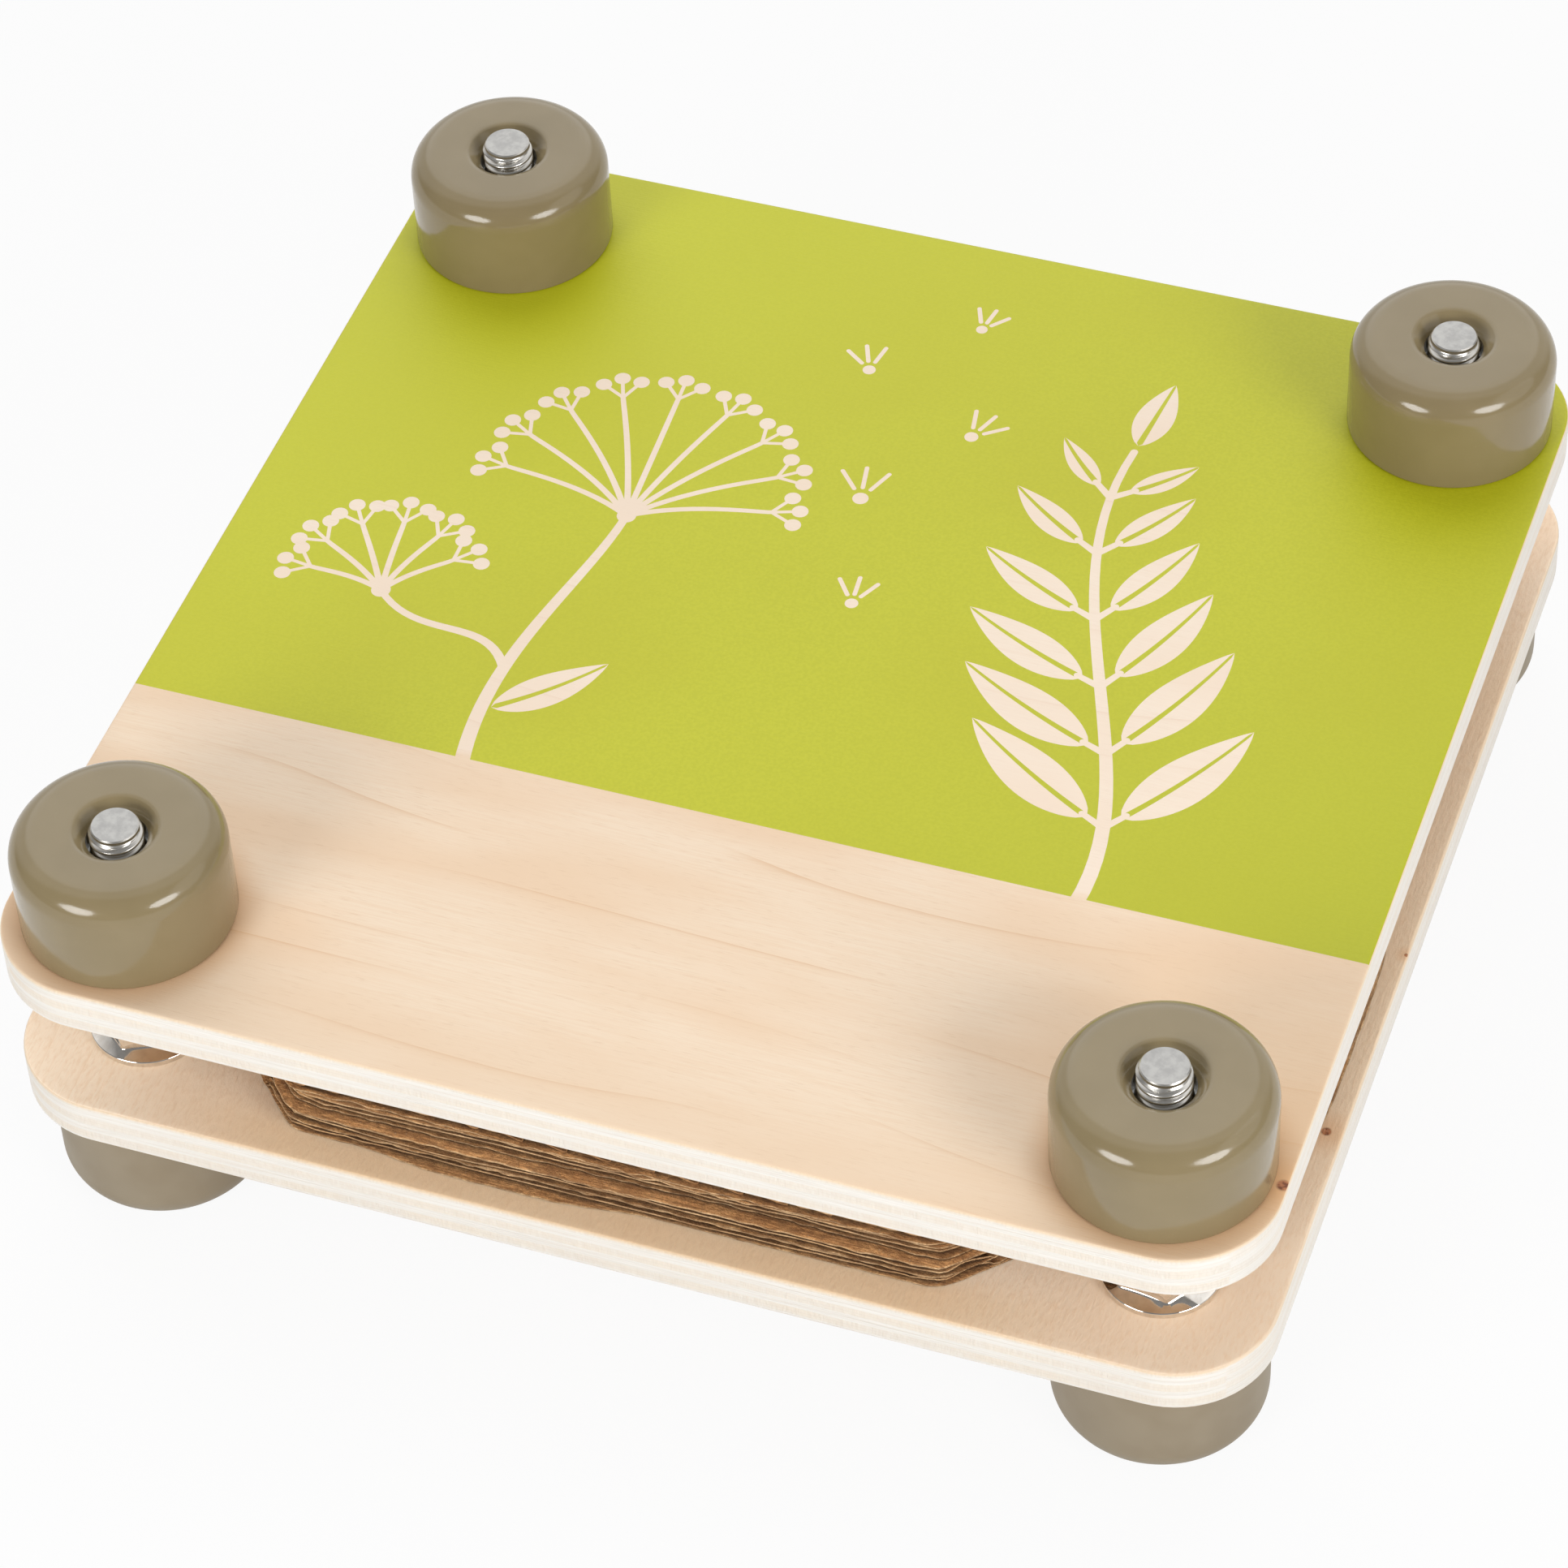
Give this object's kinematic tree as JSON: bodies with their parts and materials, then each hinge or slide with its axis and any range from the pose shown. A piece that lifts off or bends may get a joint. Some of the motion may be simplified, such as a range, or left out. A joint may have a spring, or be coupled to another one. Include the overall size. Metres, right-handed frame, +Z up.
{
  "type": "flower press",
  "caption": "Square plywood flower press: two round-cornered boards squeeze corrugated sheets, drawn together by round screw knobs on threaded bolts that stand on round feet.",
  "frame": {"origin": "centre of the footprint, at the height of the feet's undersides", "axes": "+Z up along the bolts, +X to the right along the front edge, -Y towards the front edge with the bare wood strip"},
  "size_m": [0.19, 0.19, 0.0712],
  "materials": {
    "bare_wood": "bare sanded plywood, fine pale grain",
    "printed_wood": "bare sanded plywood with a matt green printed field",
    "painted_wood": "smooth satin lacquer",
    "zinc_bolt": "bright zinc plating",
    "zinc_steel": "zinc plating",
    "nickel_nut": "polished nickel plating",
    "corrugated_board": "unbleached brown kraft paper"
  },
  "bodies": {
    "base": {"base_board": "bare_wood", "foot_front_left": "painted_wood", "bolt_front_left": "zinc_bolt", "washer_front_left": "zinc_steel", "flange_nut_front_left": "nickel_nut", "foot_front_right": "painted_wood", "bolt_front_right": "zinc_bolt", "washer_front_right": "zinc_steel", "flange_nut_front_right": "nickel_nut", "foot_back_left": "painted_wood", "bolt_back_left": "zinc_bolt", "washer_back_left": "zinc_steel", "flange_nut_back_left": "nickel_nut", "foot_back_right": "painted_wood", "bolt_back_right": "zinc_bolt", "washer_back_right": "zinc_steel", "flange_nut_back_right": "nickel_nut", "sheet_1": "corrugated_board"},
    "top_board": {"top_board": "printed_wood"},
    "knob_front_left": {"knob_front_left": "painted_wood", "insert_front_left": "zinc_steel"},
    "knob_front_right": {"knob_front_right": "painted_wood", "insert_front_right": "zinc_steel"},
    "knob_back_left": {"knob_back_left": "painted_wood", "insert_back_left": "zinc_steel"},
    "knob_back_right": {"knob_back_right": "painted_wood", "insert_back_right": "zinc_steel"},
    "sheet_2": {"sheet_2": "corrugated_board"},
    "sheet_3": {"sheet_3": "corrugated_board"},
    "sheet_4": {"sheet_4": "corrugated_board"},
    "sheet_5": {"sheet_5": "corrugated_board"},
    "sheet_6": {"sheet_6": "corrugated_board"}
  },
  "joints": [
    {"name": "press_lift", "type": "slide", "parent": "base", "child": "top_board", "axis": [0, 0, 1], "range_m": [0, 0.011]},
    {"name": "sheet_2_lift", "type": "slide", "parent": "base", "child": "sheet_2", "axis": [0, 0, 1], "range_m": [0, 0.00183]},
    {"name": "sheet_3_lift", "type": "slide", "parent": "base", "child": "sheet_3", "axis": [0, 0, 1], "range_m": [0, 0.00367]},
    {"name": "sheet_4_lift", "type": "slide", "parent": "base", "child": "sheet_4", "axis": [0, 0, 1], "range_m": [0, 0.0055]},
    {"name": "sheet_5_lift", "type": "slide", "parent": "base", "child": "sheet_5", "axis": [0, 0, 1], "range_m": [0, 0.00733]},
    {"name": "sheet_6_lift", "type": "slide", "parent": "base", "child": "sheet_6", "axis": [0, 0, 1], "range_m": [0, 0.00917]},
    {"name": "knob_front_left_turn", "type": "hinge", "parent": "top_board", "child": "knob_front_left", "pos_m": [-0.0772, -0.0772, 0.0524], "axis": [0, 0, 1], "range_deg": [0, 2808.6]},
    {"name": "knob_front_right_turn", "type": "hinge", "parent": "top_board", "child": "knob_front_right", "pos_m": [0.0772, -0.0772, 0.0524], "axis": [0, 0, 1], "range_deg": [0, 2808.6]},
    {"name": "knob_back_left_turn", "type": "hinge", "parent": "top_board", "child": "knob_back_left", "pos_m": [-0.0772, 0.0772, 0.0524], "axis": [0, 0, 1], "range_deg": [0, 2808.6]},
    {"name": "knob_back_right_turn", "type": "hinge", "parent": "top_board", "child": "knob_back_right", "pos_m": [0.0772, 0.0772, 0.0524], "axis": [0, 0, 1], "range_deg": [0, 2808.6]}
  ],
  "couplings": [
    {"joint": "sheet_2_lift", "follows": "press_lift", "ratio": 0.16667},
    {"joint": "sheet_3_lift", "follows": "press_lift", "ratio": 0.33333},
    {"joint": "sheet_4_lift", "follows": "press_lift", "ratio": 0.5},
    {"joint": "sheet_5_lift", "follows": "press_lift", "ratio": 0.66667},
    {"joint": "sheet_6_lift", "follows": "press_lift", "ratio": 0.83333},
    {"joint": "knob_front_left_turn", "follows": "press_lift", "rad_per_m": 4456.2},
    {"joint": "knob_front_right_turn", "follows": "press_lift", "rad_per_m": 4456.2},
    {"joint": "knob_back_left_turn", "follows": "press_lift", "rad_per_m": 4456.2},
    {"joint": "knob_back_right_turn", "follows": "press_lift", "rad_per_m": 4456.2}
  ]
}
